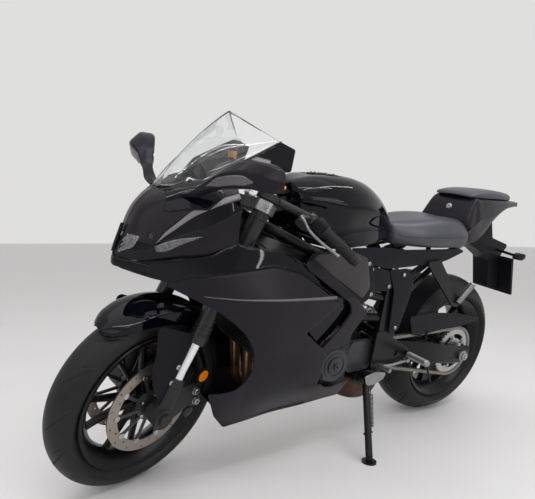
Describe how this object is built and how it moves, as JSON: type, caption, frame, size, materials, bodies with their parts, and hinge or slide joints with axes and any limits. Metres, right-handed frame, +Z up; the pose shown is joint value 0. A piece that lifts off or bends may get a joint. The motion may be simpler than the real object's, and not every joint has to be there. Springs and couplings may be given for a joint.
{
  "type": "sport bike",
  "caption": "Faired sport motorcycle leaning on its side stand, front wheel turned to the left, with turning wheels, steering, folding stand and filler cap",
  "frame": {"origin": "middle of the bounding box on the floor plane", "axes": "+X forward, +Y to the rider left, +Z up; the bike leans about X to +Y onto its side stand"},
  "size_m": [2.0762, 0.7418, 1.1467],
  "materials": {
    "tyre_rubber": "natural rubber black",
    "wheel_black": "satin black paint",
    "disc_steel": "ground",
    "chain_steel": "oiled",
    "engine_grey": "satin dark grey",
    "radiator_black": "matt black",
    "header_steel": "heat tinted",
    "silencer_black": "matt heat resisting",
    "frame_black": "satin black",
    "axle_steel": "zinc plated",
    "stanchion": "hard chrome",
    "clamp_alloy": "bead blasted",
    "gloss_black": "gloss black lacquer",
    "tank_black": "gloss black lacquer",
    "satin_black": "satin black paint",
    "moulded_black": "moulded, fine grain",
    "seat_vinyl": "smooth dark vinyl",
    "grip_rubber": "moulded grip pattern",
    "screen_clear": "clear polycarbonate",
    "lamp_lens": "clear lens",
    "rear_lens": "dark red and smoked lens"
  },
  "bodies": {
    "front_wheel": {"front_tyre": "tyre_rubber", "front_rim": "wheel_black", "front_discs": "disc_steel"},
    "rear_wheel": {"rear_tyre": "tyre_rubber", "rear_rim": "wheel_black", "rear_disc": "disc_steel", "rear_sprocket": "chain_steel"},
    "chassis": {"drive_chain": "chain_steel", "engine_block": "engine_grey", "engine_covers": "engine_grey", "exhaust_headers": "header_steel", "silencer": "silencer_black", "main_frame": "frame_black", "radiator": "radiator_black", "subframe": "frame_black", "swingarm": "frame_black", "rear_axle": "axle_steel", "shock_absorber": "axle_steel", "chain_guard": "moulded_black", "rear_caliper": "frame_black", "fuel_tank": "tank_black", "knee_covers": "moulded_black", "side_covers": "satin_black", "rider_seat": "seat_vinyl", "tail_cowl": "satin_black", "pillion_seat": "seat_vinyl", "plate_holder": "moulded_black", "rear_lamps": "rear_lens", "side_cowls": "satin_black", "upper_cowls": "gloss_black", "vent_panels": "gloss_black", "headlamp": "lamp_lens", "windscreen": "screen_clear", "screen_wings": "gloss_black", "mirrors": "satin_black", "nose_cowl": "satin_black", "dash_panel": "moulded_black", "foot_levers": "clamp_alloy", "foot_pegs": "clamp_alloy"},
    "fuel_cap": {"fuel_cap": "tank_black"},
    "steering": {"fork_clamps": "clamp_alloy", "fork_outer_tubes": "frame_black", "fork_inner_tubes": "stanchion", "fork_castings": "frame_black", "front_axle": "axle_steel", "front_calipers": "frame_black", "handlebars": "frame_black", "grips": "grip_rubber", "switch_housings": "moulded_black", "hand_levers": "clamp_alloy", "front_fender": "gloss_black"},
    "side_stand": {"side_stand": "frame_black"}
  },
  "joints": [
    {"name": "steering", "type": "hinge", "parent": "chassis", "child": "steering", "pos_m": [0.44054, 0.01068, 0.88535], "axis": [-0.3986, 0.1985, 0.8954], "range_deg": [-42.5, 11.5]},
    {"name": "front_wheel_spin", "type": "hinge", "parent": "steering", "child": "front_wheel", "pos_m": [0.74535, -0.11133, 0.28808], "axis": [-0.2451, 0.9177, -0.3126], "continuous": true},
    {"name": "rear_wheel_spin", "type": "hinge", "parent": "chassis", "child": "rear_wheel", "pos_m": [-0.64832, -0.11692, 0.30976], "axis": [0, 0.9763, -0.2164], "continuous": true},
    {"name": "side_stand_fold", "type": "hinge", "parent": "chassis", "child": "side_stand", "pos_m": [-0.08487, 0.02199, 0.26178], "axis": [0.0012, 0.9863, 0.165], "range_deg": [0, 96]},
    {"name": "fuel_cap_hinge", "type": "hinge", "parent": "chassis", "child": "fuel_cap", "pos_m": [0.20138, 0.03379, 0.98957], "axis": [0, 0.9763, -0.2164], "range_deg": [0, 95]}
  ]
}
